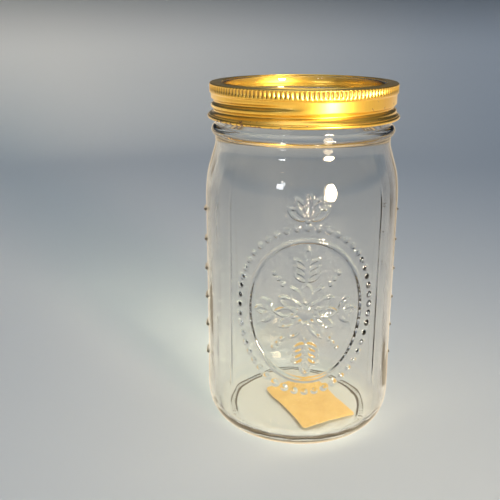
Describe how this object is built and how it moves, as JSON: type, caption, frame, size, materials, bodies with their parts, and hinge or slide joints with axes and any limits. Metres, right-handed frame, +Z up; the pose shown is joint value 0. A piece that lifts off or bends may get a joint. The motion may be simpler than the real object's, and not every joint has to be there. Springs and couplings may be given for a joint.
{
  "type": "mason jar with screw band",
  "caption": "Clear glass wide-mouth canning jar with a moulded oval on its front and an open gold screw band that unscrews; a jar lantern without its lamp.",
  "frame": {"origin": "centre of the jar's bearing ring, on the surface the jar stands on", "axes": "+Z up the jar's axis to the mouth, -Y out of the front with the moulded oval, +X to the viewer's right"},
  "size_m": [0.0962, 0.0956, 0.173],
  "materials": {
    "clear_glass": "polished",
    "gold_tinplate": "satin",
    "cream_paper": "matte"
  },
  "bodies": {
    "jar": {"glass_jar": "clear_glass", "paper_label": "cream_paper"},
    "band_lead": {"band_curl": "gold_tinplate"},
    "band": {"screw_band": "gold_tinplate"}
  },
  "joints": [
    {"name": "band_rise", "type": "slide", "parent": "jar", "child": "band_lead", "axis": [0, 0, 1], "range_m": [0, 0.017]},
    {"name": "band_turn", "type": "hinge", "parent": "band_lead", "child": "band", "pos_m": [0, 0, 0.165], "axis": [0, 0, 1], "range_deg": [0, 1440]}
  ],
  "couplings": [
    {"joint": "band_rise", "follows": "band_turn", "m_per_rad": 0.0006737}
  ]
}
